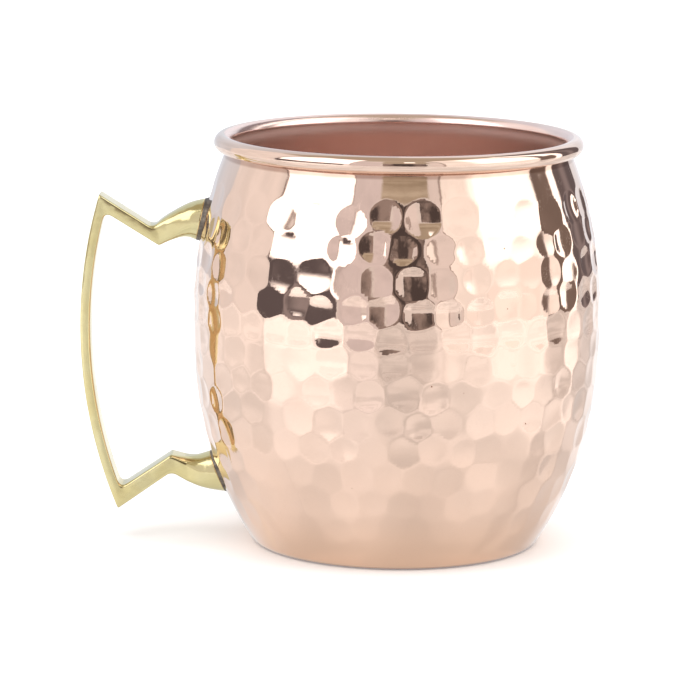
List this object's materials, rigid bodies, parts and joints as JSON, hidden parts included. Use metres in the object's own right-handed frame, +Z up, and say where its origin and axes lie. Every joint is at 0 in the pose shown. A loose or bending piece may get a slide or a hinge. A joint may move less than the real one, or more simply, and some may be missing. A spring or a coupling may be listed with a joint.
{
  "type": "barrel mug",
  "caption": "Barrel-shaped hammered copper drinking mug with a rolled rim, a flat base and an angular cast brass handle soldered to the wall.",
  "frame": {"origin": "centre of the cup's flat base, in the plane that it stands on", "axes": "+Z up along the axis of the cup; the handle points along -X, so X is the longest side; the handle's middle plane is the XZ plane"},
  "size_m": [0.1244, 0.0972, 0.0982],
  "materials": {
    "copper": "bright polished copper, rosy, hand-hammered outside with shallow round dimples, satin spun finish inside",
    "brass": "polished cast brass, pale yellow, softly rounded edges",
    "solder": "dull grey filler metal, darkened by heat"
  },
  "bodies": {
    "root": {"cup_shell": "copper", "handle": "brass", "upper_solder_joint": "solder", "lower_solder_joint": "solder"}
  },
  "joints": []
}
